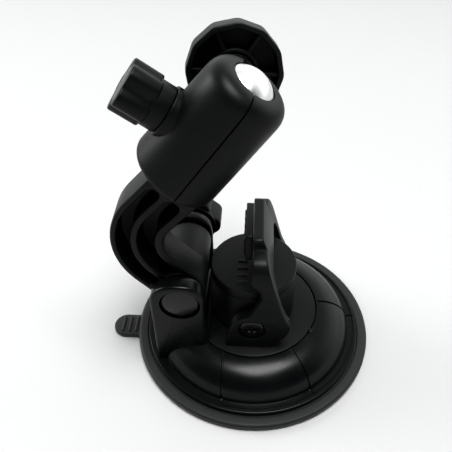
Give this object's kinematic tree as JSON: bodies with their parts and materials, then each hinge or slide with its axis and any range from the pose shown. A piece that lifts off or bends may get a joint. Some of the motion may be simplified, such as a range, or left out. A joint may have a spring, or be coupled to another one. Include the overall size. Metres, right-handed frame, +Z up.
{
  "type": "suction mount",
  "caption": "Lever-locked suction-cup mount with a hinged C-shaped arm, a clamped ball joint and a threaded camera stud with a lock wheel.",
  "frame": {"origin": "centre of the suction pad's flat underside", "axes": "+Z up out of the pad towards the arm, +Y towards the camera stud's side, the arm swings in the XZ plane"},
  "size_m": [0.08, 0.072, 0.094],
  "materials": {
    "soft_rubber": "matt moulded rubber",
    "gloss_abs": "polished moulding",
    "satin_abs": "fine satin moulding",
    "chrome": "polished plating",
    "black_steel": "gloss black coating",
    "zinc_steel": "zinc plated"
  },
  "bodies": {
    "base": {"base_cover": "gloss_abs", "cam_plate": "satin_abs", "suction_pad": "soft_rubber", "pivot_bolt": "black_steel"},
    "plunger": {"plunger_cap": "satin_abs", "plunger_stem": "satin_abs", "lever_pin": "black_steel", "pin_clip": "zinc_steel"},
    "lever": {"cam_lever": "satin_abs", "thumb_pad": "satin_abs"},
    "arm": {"arm_bracket": "satin_abs", "left_jaw": "satin_abs", "right_jaw": "satin_abs", "shell_screw": "zinc_steel", "clamp_nut": "zinc_steel"},
    "tilt_knob": {"pivot_knob": "satin_abs", "pivot_nut": "zinc_steel", "pivot_washer": "zinc_steel"},
    "clamp_knob": {"clamp_knob": "satin_abs", "clamp_knob_cap": "gloss_abs", "clamp_screw": "zinc_steel", "clamp_washer": "satin_abs"},
    "ball": {"clamp_ball": "chrome"},
    "screw": {"camera_screw": "zinc_steel"},
    "wheel": {"lock_wheel": "satin_abs", "wheel_insert": "black_steel", "camera_pad": "soft_rubber"}
  },
  "joints": [
    {"name": "plunger_lift", "type": "slide", "parent": "base", "child": "plunger", "axis": [0, 0, 1], "range_m": [0, 0.0035]},
    {"name": "lever_turn", "type": "hinge", "parent": "plunger", "child": "lever", "pos_m": [0, 0, 0.0189], "axis": [0, 1, 0], "range_deg": [0, 90]},
    {"name": "arm_tilt", "type": "hinge", "parent": "base", "child": "arm", "pos_m": [-0.0197, 0, 0.0286], "axis": [0, 1, 0], "range_deg": [-75, 15]},
    {"name": "tilt_knob_turn", "type": "hinge", "parent": "base", "child": "tilt_knob", "pos_m": [-0.0197, 0.02, 0.0286], "axis": [0, 1, 0], "continuous": true},
    {"name": "clamp_knob_turn", "type": "hinge", "parent": "arm", "child": "clamp_knob", "pos_m": [-0.0114, -0.003, 0.07446], "axis": [-0.8141, 0, 0.5807], "continuous": true},
    {"name": "ball_swing", "type": "hinge", "parent": "arm", "child": "ball", "pos_m": [-0.00403, -0.003, 0.0848], "axis": [0.8141, 0, -0.5807], "range_deg": [0, 100]},
    {"name": "screw_twist", "type": "hinge", "parent": "ball", "child": "screw", "pos_m": [-0.00403, -0.003, 0.0848], "axis": [-0.1207, 0.9781, -0.1693], "continuous": true},
    {"name": "lock_wheel_spin", "type": "hinge", "parent": "screw", "child": "wheel", "pos_m": [-0.00403, -0.003, 0.0848], "axis": [-0.1207, 0.9781, -0.1693], "continuous": true}
  ],
  "couplings": [
    {"joint": "lever_turn", "follows": "plunger_lift", "rad_per_m": 448.8}
  ]
}
